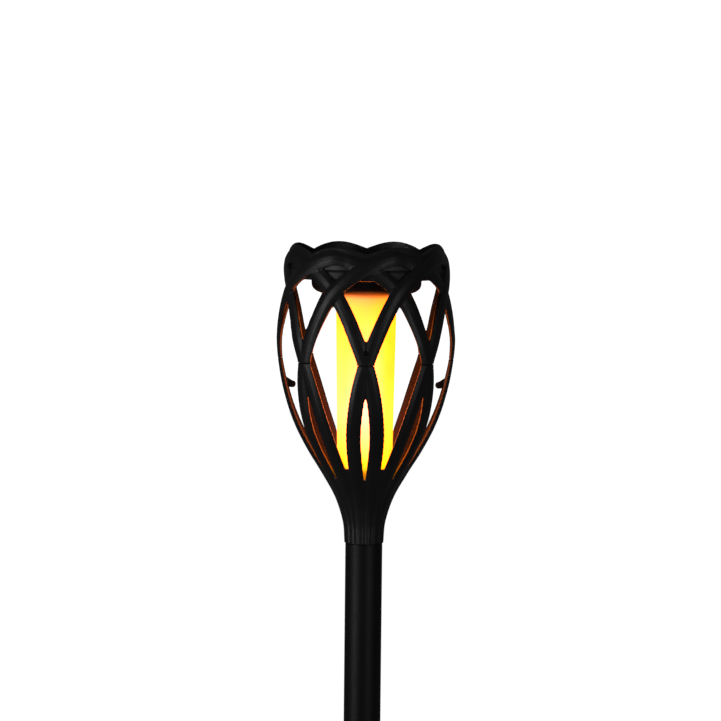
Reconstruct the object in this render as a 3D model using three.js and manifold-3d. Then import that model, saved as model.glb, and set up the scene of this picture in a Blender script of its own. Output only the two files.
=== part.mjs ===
// A solar garden torch: a woven plastic lantern basket with a flickering flame lamp,
// carried by a two-piece pole on a ground stake.
// Millimetres, +Z up. The origin lies on the pole's axis at the ground line.

import * as THREE from 'three';
import { mergeVertices } from 'three/addons/utils/BufferGeometryUtils.js';
import Module from 'manifold-3d';

const wasm = await Module();
wasm.setup();

// ---------- driving dimensions ----------

const FIT_GAP = 0.3; // clearance between pieces that touch

const STAKE_DEPTH = 165;
const STAKE_WIDTH = 28;
const STAKE_BLADE = 2.8;
const COLLAR_RADIUS = 22;
const COLLAR_THICKNESS = 5;

const POLE_RADIUS = 12.8;
const POLE_BORE = 11.6;
const PLUG_RADIUS = POLE_BORE - 0.35; // every plug that slides into a pole's bore
const PLUG_LENGTH = 32;
const COUPLER_RING = 3;
const POLE_MIDDLE = 200; // top of the lower pole
const HEAD_BASE = 400; // level from which the lantern's heights are taken
const NECK_BOTTOM = -1.7; // underside of the neck, which rests on the pole

// The basket's outer face: [height, radius]
const BASKET_PROFILE = [
  [-4, 13.7], [0, 13.7], [13, 14.9], [30, 20.4], [46, 29.3], [63, 39.8], [79, 48.1], [96, 54.3],
  [118, 59.3], [141, 61.5], [174, 59.5], [186, 57.4], [195, 56.2], [205, 54],
];
const ARC_COUNT = 8;
// Half of one petal arc, from its peak to the neck: [degrees from the peak, height]
const ARC_PATH = [[0, 197.3], [22.5, 190.5], [45, 174.3], [67.5, 125.9], [76.8, 83], [78.75, 56], [78.75, 3]];
const ARC_STEPS = 18; // straight stretches in half an arc
const STRAND_WIDTH = 10.4;
const STRAND_THICKNESS = 2.9;
const WEAVE_STEP = 1.3; // how far the under strand lies behind the over strand
const WEAVE_START = 138; // below this height both strands lie level
const WEAVE_FULL = 160;
// The scalloped wall that stands inside the rim and holds the lamp
const CROWN = { bore: 51, bottom: 182, shelf: 47, shelfTop: 183.5, peak: 204.7, valley: 199.7, topDepth: 1.3 };
// The wall's outer face: [height, depth behind the weave's outer face], with a step in it
const CROWN_FACE = [[182, 3.2], [188.5, 3.2], [188.5, 3.9], [195, 3]];
const SPLIT_HEIGHT = 125.9; // joint between the basket's two mouldings
const NECK_TOP = 45;
const NECK_WALL = 3.2;
const NECK_FLOOR = 8;

// A springy tongue at four waists joins the mouldings: its stud snaps into a hole from inside
const TONGUE = { outer: 1.7, inner: 2.8, width: 4, bottom: 121, top: 137 };
const STUD = { height: 134.8, radius: 1.2, sunk: 0.7 };
const HOOK = { knobRadius: 2.2, knobOut: 50.2, knobHeight: 107.9, top: 114.9, bottom: 106, width: 3 };

// The lamp's housing
const HOUSING_RADIUS = 49.4;
const HOUSING_TOP = 195.6;
const HOUSING_SEAM = 191;
const FLANGE_BOTTOM = CROWN.shelfTop + FIT_GAP;
const BOWL_RADIUS = 38;
const BOWL_BOTTOM = 171.2;
const BOWL_WALL = 2.2;
const SEAL_RADIUS = 45.5;
const PANEL_SIDE = 56;
const PANEL_FLOOR = 192.7;
const CELL_COUNT = 5;
const BOARD_RADIUS = 33.5;
const BOARD_BOTTOM = 183;
const POST_OFFSET = 30.5;
const HOUSING_SCREW_CIRCLE = 41;

const TUBE_TOP = 174.5;
const BOWL_FLOOR = TUBE_TOP - FIT_GAP; // inside face that carries the tube's lip
const TUBE_BOTTOM = 42;
const TUBE_RADIUS_TOP = 21;
const TUBE_RADIUS_BOTTOM = 18.7;
const TUBE_WALL = 1.2;
const TUBE_LIP = 23;
const RETAINER_RADIUS = 24;
const CORE_RADIUS = 13.5;
const CORE_BORE = 11;
const CORE_BOTTOM = 54;
const CORE_FLOOR = 84;
const LED_ROWS = 6;
const LED_COLUMNS = 6;
const BATTERY_RADIUS = 9.2;
const BATTERY_LENGTH = 65;
const BATTERY_BOTTOM = 96;
const LED_LEAD_OFFSET = 16.4;
const PANEL_LEAD_OFFSET = 12;
const BUTTON_RADIUS = 3.2;
const BUTTON_OFFSET = 27.4; // the button sits on the back of the bowl's underside

const ROUND = 28; // facets of a large round piece
const SMALL_ROUND = 12; // facets of a screw, wire or button
const TURN = Math.PI * 2;

// ---------- solids ----------

// A closed geometry as a manifold solid.
function solid(geometry) {
  geometry.deleteAttribute('normal');
  geometry.deleteAttribute('uv');
  const merged = mergeVertices(geometry, 1e-5);
  const corners = merged.index.array;
  const triangles = [];
  for (let i = 0; i < corners.length; i += 3) {
    const [a, b, c] = corners.subarray(i, i + 3);
    if (a !== b && b !== c && c !== a) triangles.push(a, b, c);
  }
  const mesh = new wasm.Mesh({
    numProp: 3,
    vertProperties: new Float32Array(merged.attributes.position.array),
    triVerts: new Uint32Array(triangles),
  });
  mesh.merge();
  return new wasm.Manifold(mesh);
}

function union(solids) {
  return solids.reduce((whole, next) => whole.add(next));
}

function box(width, depth, bottom, top, x = 0, y = 0) {
  const geometry = new THREE.BoxGeometry(width, depth, top - bottom);
  geometry.translate(x, y, (top + bottom) / 2);
  return solid(geometry);
}

// A solid of revolution about Z. The outline is [radius, height] pairs, anticlockwise.
function turned(outline, facets = ROUND) {
  const points = outline.map(([radius, height]) => new THREE.Vector2(radius, height));
  return solid(new THREE.LatheGeometry(points, facets).rotateX(Math.PI / 2));
}

function cylinder(radius, bottom, top, x = 0, y = 0, facets = SMALL_ROUND) {
  const geometry = new THREE.CylinderGeometry(radius, radius, top - bottom, facets);
  geometry.rotateX(Math.PI / 2).translate(x, y, (top + bottom) / 2);
  return solid(geometry);
}

// A cylinder that lies along the radius at the given height, from one radius to another.
function radialCylinder(radius, inner, outer, height, azimuth) {
  const geometry = new THREE.CylinderGeometry(radius, radius, outer - inner, SMALL_ROUND);
  geometry.translate(0, -(inner + outer) / 2, height).rotateZ(azimuth);
  return solid(geometry);
}

// A round wire through a list of points.
function wire(points, radius, steps = 6) {
  const path = new THREE.CatmullRomCurve3(points.map((point) => new THREE.Vector3(...point)));
  const section = new THREE.Shape().absarc(0, 0, radius, 0, TURN);
  return solid(new THREE.ExtrudeGeometry(section, {
    steps, curveSegments: 3, bevelEnabled: false, extrudePath: path,
  }));
}

// A smooth curve through [position, value] pairs, read at one position.
function smooth(pairs, at) {
  const last = pairs.length - 1;
  let i = 0;
  while (i < last - 1 && at > pairs[i + 1][0]) i += 1;
  const slope = (k) => {
    const [x0, y0] = pairs[Math.max(k - 1, 0)];
    const [x1, y1] = pairs[Math.min(k + 1, last)];
    return (y1 - y0) / (x1 - x0);
  };
  const [x0, y0] = pairs[i];
  const [x1, y1] = pairs[i + 1];
  const span = x1 - x0;
  const t = (at - x0) / span;
  const blend = t * t * (3 - 2 * t);
  const lead = t * (1 - t) * (1 - t) * slope(i) * span;
  const trail = t * t * (1 - t) * slope(i + 1) * span;
  return y0 + (y1 - y0) * blend + lead - trail;
}

const basketRadius = (height) => smooth(BASKET_PROFILE, height);

// Turns points round the axis: azimuth 0 faces -Y and grows towards +X.
function onBasket(azimuth, radius, height) {
  return new THREE.Vector3(radius * Math.sin(azimuth), -radius * Math.cos(azimuth), height);
}

// ---------- basket ----------

// The middle line of a whole arc, left foot to right foot: x is degrees, y is height.
function arcLine() {
  const right = ARC_PATH.map(([degrees, height]) => new THREE.Vector3(degrees, height, 0));
  const left = right.slice(1).reverse().map((point) => point.clone().setX(-point.x));
  const curve = new THREE.CatmullRomCurve3([...left, ...right], false, 'centripetal');
  return curve.getSpacedPoints(ARC_STEPS * 2);
}

// One petal arc as a closed strand of four-sided sections. A strand that rises to the right
// lies over the one that rises to the left.
function petalArc(peakAzimuth) {
  const line = arcLine();
  const centres = line.map(({ x: degrees, y: height }) => {
    const rightward = THREE.MathUtils.smoothstep(degrees, -12, 12);
    const under = rightward * THREE.MathUtils.smoothstep(height, WEAVE_START, WEAVE_FULL);
    const radius = basketRadius(height) - WEAVE_STEP * under;
    return onBasket(peakAzimuth + THREE.MathUtils.degToRad(degrees), radius, height);
  });
  const vertices = [];
  centres.forEach((centre, i) => {
    const { x: degrees, y: height } = line[i];
    const before = centres[Math.max(i - 1, 0)];
    const after = centres[Math.min(i + 1, centres.length - 1)];
    const along = after.clone().sub(before).normalize();
    const azimuth = peakAzimuth + THREE.MathUtils.degToRad(degrees);
    const rise = basketRadius(height + 1) - basketRadius(height - 1);
    const outward = onBasket(azimuth, 2, -rise).normalize();
    const across = along.clone().cross(outward).normalize();
    const face = across.clone().cross(along).normalize();
    const room = (TURN * basketRadius(height)) / (ARC_COUNT * 2) + 0.4;
    const width = Math.min(STRAND_WIDTH, room);
    const corner = (side, depth) => centre.clone().addScaledVector(across, side).addScaledVector(face, -depth);
    vertices.push(
      corner(width / 2, 0),
      corner(-width / 2, 0),
      corner(-width / 2, STRAND_THICKNESS),
      corner(width / 2, STRAND_THICKNESS),
    );
  });
  const indices = [];
  for (let i = 0; i < centres.length - 1; i += 1) {
    for (let side = 0; side < 4; side += 1) {
      const a = i * 4 + side;
      const b = i * 4 + ((side + 1) % 4);
      indices.push(a, b + 4, b, a, a + 4, b + 4);
    }
  }
  const end = (centres.length - 1) * 4;
  indices.push(0, 1, 2, 0, 2, 3, end, end + 2, end + 1, end, end + 3, end + 2);
  const geometry = new THREE.BufferGeometry().setFromPoints(vertices);
  geometry.setIndex(indices);
  return solid(geometry);
}

function lattice() {
  const arcs = [];
  for (let i = 0; i < ARC_COUNT; i += 1) arcs.push(petalArc(((i + 0.5) * TURN) / ARC_COUNT));
  return union(arcs);
}

// Copies of a solid at quarter turns.
function atQuarters(shape) {
  return [0, 90, 180, 270].map((degrees) => shape.rotate([0, 0, degrees]));
}

// A prism whose outline is [distance from the axis, height], centred on the +X side.
function radialPlate(outline, width) {
  const shape = new THREE.Shape(outline.map(([x, y]) => new THREE.Vector2(x, y)));
  const geometry = new THREE.ExtrudeGeometry(shape, { depth: width, bevelEnabled: false });
  geometry.translate(0, 0, -width / 2).rotateX(Math.PI / 2);
  return solid(geometry);
}

function neck() {
  const outline = [
    [PLUG_RADIUS - 1.6, -PLUG_LENGTH], [PLUG_RADIUS - 0.4, -PLUG_LENGTH], [PLUG_RADIUS, 1 - PLUG_LENGTH],
    [PLUG_RADIUS, NECK_BOTTOM],
  ];
  const flute = 0.6;
  for (let height = NECK_BOTTOM; height < NECK_TOP; height += 5) {
    outline.push([basketRadius(height) - flute, height]);
  }
  for (let height = NECK_TOP; height >= NECK_FLOOR; height -= 9) {
    outline.push([basketRadius(height) - NECK_WALL, height]);
  }
  outline.push([0, NECK_FLOOR], [0, NECK_FLOOR - 3], [PLUG_RADIUS - 1.6, NECK_FLOOR - 3], outline[0]);
  return turned(outline);
}

// The inward catch for a hanging bail, with a round knob along its tip.
function hook() {
  const wedge = radialPlate([
    [basketRadius(HOOK.bottom) - 1, HOOK.bottom], [basketRadius(HOOK.top) - 1, HOOK.top],
    [HOOK.knobOut, HOOK.knobHeight + HOOK.knobRadius], [HOOK.knobOut, HOOK.knobHeight - HOOK.knobRadius],
  ], HOOK.width);
  const knob = new THREE.CylinderGeometry(HOOK.knobRadius, HOOK.knobRadius, HOOK.width + 2, SMALL_ROUND);
  knob.translate(HOOK.knobOut, 0, HOOK.knobHeight);
  return wedge.add(solid(knob));
}

// The tongue on the lower moulding with its stud or, with a gap, the channel and hole for them.
function tongue(gap = 0) {
  const heights = [TONGUE.bottom, SPLIT_HEIGHT, STUD.height, TONGUE.top + gap];
  const outside = heights.map((height) => [basketRadius(height) - TONGUE.outer + gap, height]);
  const inside = heights.map((height) => [basketRadius(height) - TONGUE.inner - 2 * gap, height]);
  const plate = radialPlate([...outside, ...inside.reverse()], TONGUE.width + 2 * gap);
  const face = basketRadius(STUD.height);
  const tip = gap > 0 ? face + 2 : face - STUD.sunk;
  const stud = radialCylinder(STUD.radius + gap, face - TONGUE.outer - 0.5, tip, STUD.height, TURN / 4);
  return plate.add(stud);
}

// A ring round the axis whose outline of [radius, height] pairs is given for each azimuth.
function ring(outlineAt, facets) {
  const vertices = [];
  const indices = [];
  const corners = outlineAt(0).length;
  for (let i = 0; i < facets; i += 1) {
    const azimuth = (i * TURN) / facets;
    outlineAt(azimuth).forEach(([radius, height]) => vertices.push(onBasket(azimuth, radius, height)));
    const next = (i + 1) % facets;
    for (let k = 0; k < corners; k += 1) {
      const a = i * corners + k;
      const b = i * corners + ((k + 1) % corners);
      const c = next * corners + k;
      const d = next * corners + ((k + 1) % corners);
      indices.push(a, d, b, a, c, d);
    }
  }
  const geometry = new THREE.BufferGeometry().setFromPoints(vertices);
  geometry.setIndex(indices);
  return solid(geometry);
}

// The wall follows the weave's inner side, then leans in to the bore at its scalloped top.
function crown() {
  const outline = (azimuth) => {
    const scallop = Math.abs(Math.sin((azimuth * ARC_COUNT) / 2));
    const top = CROWN.valley + (CROWN.peak - CROWN.valley) * scallop;
    const face = [...CROWN_FACE, [top, CROWN.topDepth]];
    return [
      [CROWN.shelf, CROWN.bottom], ...face.map(([height, depth]) => [basketRadius(height) - depth, height]),
      [CROWN.bore, top], [CROWN.bore, CROWN.shelfTop], [CROWN.shelf, CROWN.shelfTop],
    ];
  };
  return ring(outline, ARC_COUNT * 8);
}

function basketLower(woven) {
  const below = box(200, 200, -1, SPLIT_HEIGHT - FIT_GAP / 2);
  return union([woven.intersect(below), neck(), ...atQuarters(hook()), ...atQuarters(tongue())]);
}

function basketUpper(woven) {
  const above = box(200, 200, SPLIT_HEIGHT + FIT_GAP / 2, CROWN.peak);
  const seats = union(atQuarters(tongue(FIT_GAP)));
  return union([woven.intersect(above), crown()]).subtract(seats);
}

// ---------- stake and pole ----------

function groundStake() {
  const half = STAKE_WIDTH / 2;
  const blade = radialPlate([
    [-half, 1], [-half, -STAKE_DEPTH * 0.5], [0, -STAKE_DEPTH], [half, -STAKE_DEPTH * 0.5], [half, 1],
  ].reverse(), STAKE_BLADE);
  const body = turned([
    [0, 0], [COLLAR_RADIUS, 0], [COLLAR_RADIUS, COLLAR_THICKNESS - 1.5], [COLLAR_RADIUS - 3, COLLAR_THICKNESS],
    [PLUG_RADIUS, COLLAR_THICKNESS], [PLUG_RADIUS, COLLAR_THICKNESS + PLUG_LENGTH - 1],
    [PLUG_RADIUS - 1, COLLAR_THICKNESS + PLUG_LENGTH], [0, COLLAR_THICKNESS + PLUG_LENGTH],
  ]);
  return union([body, blade, blade.rotate([0, 0, 90])]);
}

function poleTube(bottom, top) {
  return turned([
    [POLE_BORE, bottom], [POLE_RADIUS, bottom], [POLE_RADIUS, top], [POLE_BORE, top], [POLE_BORE, bottom],
  ]);
}

function poleCoupler() {
  const ringBottom = POLE_MIDDLE + FIT_GAP;
  const ringTop = ringBottom + COUPLER_RING;
  const bore = PLUG_RADIUS - 2;
  return turned([
    [bore, ringBottom - PLUG_LENGTH], [PLUG_RADIUS, ringBottom - PLUG_LENGTH], [PLUG_RADIUS, ringBottom],
    [POLE_RADIUS + 0.6, ringBottom], [POLE_RADIUS + 0.6, ringTop], [PLUG_RADIUS, ringTop],
    [PLUG_RADIUS, ringTop + PLUG_LENGTH], [bore, ringTop + PLUG_LENGTH], [bore, ringBottom - PLUG_LENGTH],
  ]);
}

// ---------- lamp housing ----------

function screwCircle(radius, bottom, top) {
  const offset = HOUSING_SCREW_CIRCLE / Math.SQRT2;
  return atQuarters(cylinder(radius, bottom, top, offset, offset));
}

function housingLid() {
  const rim = HOUSING_SEAM + FIT_GAP / 2;
  const plate = turned([
    [0, PANEL_FLOOR - BOWL_WALL], [SEAL_RADIUS - 2, PANEL_FLOOR - BOWL_WALL],
    [SEAL_RADIUS - 2, HOUSING_SEAM - 1.5],
    [SEAL_RADIUS + 1.2, HOUSING_SEAM - 1.5], [SEAL_RADIUS + 1.2, rim], [HOUSING_RADIUS, rim],
    [HOUSING_RADIUS, HOUSING_TOP - 0.8], [HOUSING_RADIUS - 0.8, HOUSING_TOP], [0, HOUSING_TOP],
  ]);
  const recess = box(PANEL_SIDE + 0.6, PANEL_SIDE + 0.6, PANEL_FLOOR, HOUSING_TOP + 5);
  const bosses = screwCircle(2.7, FLANGE_BOTTOM + BOWL_WALL + FIT_GAP, PANEL_FLOOR - 1);
  const threads = screwCircle(1.6, FLANGE_BOTTOM, PANEL_FLOOR - BOWL_WALL);
  const leadBottom = PANEL_FLOOR - BOWL_WALL - 1;
  const leadHole = cylinder(1.6, leadBottom, HOUSING_TOP, PANEL_LEAD_OFFSET, PANEL_LEAD_OFFSET);
  return union([plate, ...bosses]).subtract(union([recess, leadHole, ...threads]));
}

function housingBowl() {
  const flangeTop = FLANGE_BOTTOM + BOWL_WALL;
  const hole = TUBE_RADIUS_TOP + 0.6;
  const inside = BOWL_RADIUS - BOWL_WALL;
  const top = HOUSING_SEAM - FIT_GAP / 2;
  const shell = turned([
    [hole, BOWL_BOTTOM], [BOWL_RADIUS - 7, BOWL_BOTTOM], [BOWL_RADIUS - 3.5, BOWL_BOTTOM + 1.3],
    [BOWL_RADIUS - 1.3, BOWL_BOTTOM + 3.1], [BOWL_RADIUS - 0.3, BOWL_BOTTOM + 5.4],
    [BOWL_RADIUS, FLANGE_BOTTOM], [HOUSING_RADIUS - 0.8, FLANGE_BOTTOM],
    [HOUSING_RADIUS, FLANGE_BOTTOM + 0.8], [HOUSING_RADIUS, top], [SEAL_RADIUS + 1.5, top],
    [SEAL_RADIUS + 1.5, flangeTop], [inside, flangeTop], [inside - 0.4, BOWL_FLOOR + 3],
    [inside - 3, BOWL_FLOOR + 0.4], [inside - 6, BOWL_FLOOR], [hole, BOWL_FLOOR], [hole, BOWL_BOTTOM],
  ]);
  const postTop = BOARD_BOTTOM - FIT_GAP;
  const posts = [1, -1].map((side) => cylinder(2.4, BOWL_FLOOR - 1, postTop, side * POST_OFFSET));
  const screwPaths = screwCircle(1.6, FLANGE_BOTTOM - 1, flangeTop + 1);
  const buttonHole = cylinder(BUTTON_RADIUS + 0.35, BOWL_BOTTOM - 1, BOWL_FLOOR + 1, 0, BUTTON_OFFSET);
  return union([shell, ...posts]).subtract(union([buttonHole, ...screwPaths]));
}

function sealRing() {
  const bottom = FLANGE_BOTTOM + BOWL_WALL + FIT_GAP;
  const top = HOUSING_SEAM - 1.5 - FIT_GAP;
  const inner = SEAL_RADIUS - 1.2;
  const outer = SEAL_RADIUS + 1.1;
  return turned([[inner, bottom], [outer, bottom], [outer, top], [inner, top], [inner, bottom]]);
}

function housingScrew(degrees) {
  const top = PANEL_FLOOR - BOWL_WALL - 1;
  const head = cylinder(2.5, FLANGE_BOTTOM - 2, FLANGE_BOTTOM - FIT_GAP, HOUSING_SCREW_CIRCLE);
  const shank = cylinder(1.3, FLANGE_BOTTOM - 1, top, HOUSING_SCREW_CIRCLE);
  const slot = box(5.2, 0.8, FLANGE_BOTTOM - 3, FLANGE_BOTTOM - 1.3, HOUSING_SCREW_CIRCLE);
  return head.add(shank).subtract(slot).rotate([0, 0, degrees]);
}

function solarBoard() {
  const bottom = PANEL_FLOOR + FIT_GAP;
  return box(PANEL_SIDE, PANEL_SIDE, bottom, bottom + 0.9);
}

// Thin cells side by side, tied by two bus bars into one body.
function solarCells() {
  const bottom = PANEL_FLOOR + 1.5;
  const pitch = (PANEL_SIDE - 4) / CELL_COUNT;
  const bars = [-12, 12].map((y) => box(PANEL_SIDE - 5, 1.6, bottom, bottom + 0.5, 0, y));
  const cells = [];
  for (let i = 0; i < CELL_COUNT; i += 1) {
    const x = (i - (CELL_COUNT - 1) / 2) * pitch;
    cells.push(box(pitch - 0.8, PANEL_SIDE - 4, bottom, bottom + 0.4, x));
  }
  return union([...cells, ...bars]);
}

function panelCover() {
  return box(PANEL_SIDE, PANEL_SIDE, PANEL_FLOOR + 2.3, HOUSING_TOP - 0.1);
}

// ---------- lamp electrics ----------

function circuitBoard() {
  const board = cylinder(BOARD_RADIUS, BOARD_BOTTOM, BOARD_BOTTOM + 1.6, 0, 0, ROUND);
  const top = BOARD_BOTTOM + 1.5;
  const controller = box(8, 6, top, top + 1.8, -12, -6);
  const inductor = cylinder(4, top, top + 3.4, 4, -20);
  const capacitor = cylinder(3, top, top + 4.6, -18, 12);
  return union([board, controller, inductor, capacitor]);
}

function switchBody() {
  return box(6, 6, BOARD_BOTTOM - 5, BOARD_BOTTOM - FIT_GAP, 0, BUTTON_OFFSET);
}

function powerButton() {
  const cap = cylinder(BUTTON_RADIUS, BOWL_BOTTOM - 1.8, BOWL_FLOOR + 2, 0, BUTTON_OFFSET, 16);
  const flange = cylinder(BUTTON_RADIUS + 0.7, BOWL_FLOOR + 0.6, BOWL_FLOOR + 1.6, 0, BUTTON_OFFSET, 16);
  return cap.add(flange);
}

function battery() {
  const top = BATTERY_BOTTOM + BATTERY_LENGTH;
  const groove = BATTERY_RADIUS - 0.6;
  return turned([
    [0, BATTERY_BOTTOM], [BATTERY_RADIUS, BATTERY_BOTTOM], [BATTERY_RADIUS, top - 5], [groove, top - 4.2],
    [groove, top - 3.4], [BATTERY_RADIUS, top - 2.6], [BATTERY_RADIUS, top - 1],
    [3.2, top - 1], [3.2, top], [0, top],
  ], 24);
}

// A conical coil between the core's floor and the battery.
function batterySpring() {
  const turns = 3;
  const stepsPerTurn = 12;
  const bottom = CORE_FLOOR + 2 + FIT_GAP + 0.5;
  const height = BATTERY_BOTTOM - FIT_GAP - 0.5 - bottom;
  const points = [];
  for (let i = 0; i <= turns * stepsPerTurn; i += 1) {
    const share = i / (turns * stepsPerTurn);
    const angle = share * turns * TURN;
    const radius = 7.5 - 3 * share;
    points.push([radius * Math.cos(angle), radius * Math.sin(angle), bottom + height * share]);
  }
  return wire(points, 0.45, turns * stepsPerTurn);
}

function batteryContact() {
  const bottom = BATTERY_BOTTOM + BATTERY_LENGTH + FIT_GAP;
  return turned([[0, bottom], [8, bottom], [8, bottom + 0.6], [0, bottom + 0.6]], 24);
}

function ledCore() {
  const flange = TUBE_TOP + 1.8;
  const core = turned([
    [0, CORE_FLOOR], [CORE_BORE, CORE_FLOOR], [CORE_BORE, CORE_BOTTOM], [CORE_RADIUS, CORE_BOTTOM],
    [CORE_RADIUS, flange], [TUBE_LIP, flange], [TUBE_LIP, flange + 2], [CORE_BORE, flange + 2],
    [CORE_BORE, CORE_FLOOR + 2], [0, CORE_FLOOR + 2],
  ], 24);
  return core.subtract(cylinder(1.2, flange - 1, flange + 3, LED_LEAD_OFFSET));
}

function ledStrip() {
  const inner = CORE_RADIUS + FIT_GAP;
  const outer = inner + 0.6;
  const bottom = CORE_BOTTOM + 3;
  const top = TUBE_TOP - 4.5;
  const film = turned([[inner, bottom], [outer, bottom], [outer, top], [inner, top], [inner, bottom]], 24);
  const pieces = [film];
  const pitch = (top - bottom) / LED_ROWS;
  for (let row = 0; row < LED_ROWS; row += 1) {
    const height = bottom + (row + 0.5) * pitch;
    for (let column = 0; column < LED_COLUMNS; column += 1) {
      const chip = box(1.4, 3, height - 1.5, height + 1.5, outer + 0.4);
      pieces.push(chip.rotate([0, 0, (column * 360) / LED_COLUMNS]));
    }
  }
  return union(pieces);
}

function flameTube() {
  const inTop = TUBE_RADIUS_TOP - TUBE_WALL;
  const inBottom = TUBE_RADIUS_BOTTOM - TUBE_WALL;
  return turned([
    [inBottom, TUBE_BOTTOM], [TUBE_RADIUS_BOTTOM, TUBE_BOTTOM], [TUBE_RADIUS_TOP, TUBE_TOP], [TUBE_LIP, TUBE_TOP],
    [TUBE_LIP, TUBE_TOP + 1.5], [inTop, TUBE_TOP + 1.5], [inBottom, TUBE_BOTTOM],
  ]);
}

function tubeRetainer() {
  const bottom = TUBE_TOP + 4.1;
  const inner = LED_LEAD_OFFSET + 2;
  const top = bottom + 2;
  return turned([
    [inner, bottom], [RETAINER_RADIUS, bottom], [RETAINER_RADIUS, top], [inner, top], [inner, bottom],
  ]);
}

function tubeEndCap() {
  const rim = TUBE_BOTTOM - FIT_GAP;
  const plug = TUBE_RADIUS_BOTTOM - TUBE_WALL - FIT_GAP;
  const spigot = CORE_BORE - FIT_GAP;
  return turned([
    [0, rim - 2], [TUBE_RADIUS_BOTTOM - 1, rim - 2], [TUBE_RADIUS_BOTTOM, rim - 1], [TUBE_RADIUS_BOTTOM, rim],
    [plug, rim], [plug, rim + 5], [spigot, rim + 5], [spigot, CORE_BOTTOM + 6], [0, CORE_BOTTOM + 6],
  ]);
}

function leads() {
  const board = BOARD_BOTTOM - FIT_GAP;
  const side = CORE_BORE - 0.9;
  const contact = BATTERY_BOTTOM + BATTERY_LENGTH + 1.3;
  return {
    battery_lead: wire([[0, 3, contact], [0, 4, contact + 8], [0, 3, board]], 0.6),
    return_lead: wire([[side, 0, CORE_FLOOR + 3.5], [side, 0, 130], [side, 0, board]], 0.5, 2),
    led_lead: wire([
      [15, 0, TUBE_TOP - 4.1], [LED_LEAD_OFFSET, 0, TUBE_TOP - 1.5], [LED_LEAD_OFFSET, 0, board],
    ], 0.6),
    panel_lead: wire([
      [PANEL_LEAD_OFFSET, PANEL_LEAD_OFFSET, BOARD_BOTTOM + 2],
      [PANEL_LEAD_OFFSET + 0.4, PANEL_LEAD_OFFSET, 188],
      [PANEL_LEAD_OFFSET, PANEL_LEAD_OFFSET, PANEL_FLOOR],
    ], 0.6, 4),
  };
}

// ---------- materials ----------

function finish(color, roughness, metalness = 0) {
  return new THREE.MeshStandardMaterial({ color, roughness, metalness });
}

const BLACK_PLASTIC = () => finish(0x1b1b1c, 0.42);
const POLE_PLASTIC = () => finish(0x141414, 0.3);
const HOUSING_PLASTIC = () => finish(0x171718, 0.5);
const STEEL = () => finish(0xb8bbc0, 0.3, 1);
const CELL_BLUE = () => finish(0x0c1430, 0.25, 0.3);
const CLEAR = () => finish(0x8c96a0, 0.1);
const FLAME = () => finish(0xffb22e, 0.5);
const BOARD_GREEN = () => finish(0x17502c, 0.5);
const WHITE_PLASTIC = () => finish(0xe6e4de, 0.5);
const SEAL_RUBBER = () => finish(0x26262a, 0.8);
const WRAP_BLUE = () => finish(0x2b5f9c, 0.4);
const WIRE_RED = () => finish(0xa81e1e, 0.5);

// ---------- assembly ----------

const torch = new THREE.Group();
const head = new THREE.Group();
head.position.z = HEAD_BASE;
torch.add(head);

function place(parent, name, shape, material) {
  const mesh = shape.getMesh();
  const geometry = new THREE.BufferGeometry();
  geometry.setAttribute('position', new THREE.BufferAttribute(mesh.vertProperties, 3));
  geometry.setIndex(new THREE.BufferAttribute(mesh.triVerts, 1));
  geometry.computeVertexNormals();
  const part = new THREE.Mesh(geometry, material);
  part.name = name;
  parent.add(part);
}

place(torch, 'ground_stake', groundStake(), BLACK_PLASTIC());
place(torch, 'lower_pole', poleTube(COLLAR_THICKNESS + FIT_GAP, POLE_MIDDLE), POLE_PLASTIC());
place(torch, 'pole_coupler', poleCoupler(), BLACK_PLASTIC());
const upperPoleBottom = POLE_MIDDLE + COUPLER_RING + 2 * FIT_GAP;
place(torch, 'upper_pole', poleTube(upperPoleBottom, HEAD_BASE + NECK_BOTTOM - FIT_GAP), POLE_PLASTIC());

const woven = lattice();
place(head, 'basket_lower', basketLower(woven), BLACK_PLASTIC());
place(head, 'basket_upper', basketUpper(woven), BLACK_PLASTIC());
for (let i = 0; i < 4; i += 1) place(head, `housing_screw_${i + 1}`, housingScrew(45 + i * 90), STEEL());

place(head, 'housing_lid', housingLid(), HOUSING_PLASTIC());
place(head, 'housing_bowl', housingBowl(), HOUSING_PLASTIC());
place(head, 'seal_ring', sealRing(), SEAL_RUBBER());
place(head, 'solar_board', solarBoard(), BOARD_GREEN());
place(head, 'solar_cells', solarCells(), CELL_BLUE());
place(head, 'panel_cover', panelCover(), CLEAR());

place(head, 'circuit_board', circuitBoard(), BOARD_GREEN());
place(head, 'switch_body', switchBody(), BLACK_PLASTIC());
place(head, 'power_button', powerButton(), SEAL_RUBBER());
place(head, 'battery', battery(), WRAP_BLUE());
place(head, 'battery_spring', batterySpring(), STEEL());
place(head, 'battery_contact', batteryContact(), STEEL());
place(head, 'led_core', ledCore(), WHITE_PLASTIC());
place(head, 'led_strip', ledStrip(), WHITE_PLASTIC());
place(head, 'flame_tube', flameTube(), FLAME());
place(head, 'tube_retainer', tubeRetainer(), BLACK_PLASTIC());
place(head, 'tube_end_cap', tubeEndCap(), BLACK_PLASTIC());
for (const [name, shape] of Object.entries(leads())) place(head, name, shape, WIRE_RED());

export default torch;
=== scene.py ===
"""Looks of a solar garden torch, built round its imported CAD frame. Metres, +Z up, front faces -Y."""

import math
import bmesh
import bpy
import numpy as np
from mathutils import Matrix, Vector


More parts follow.
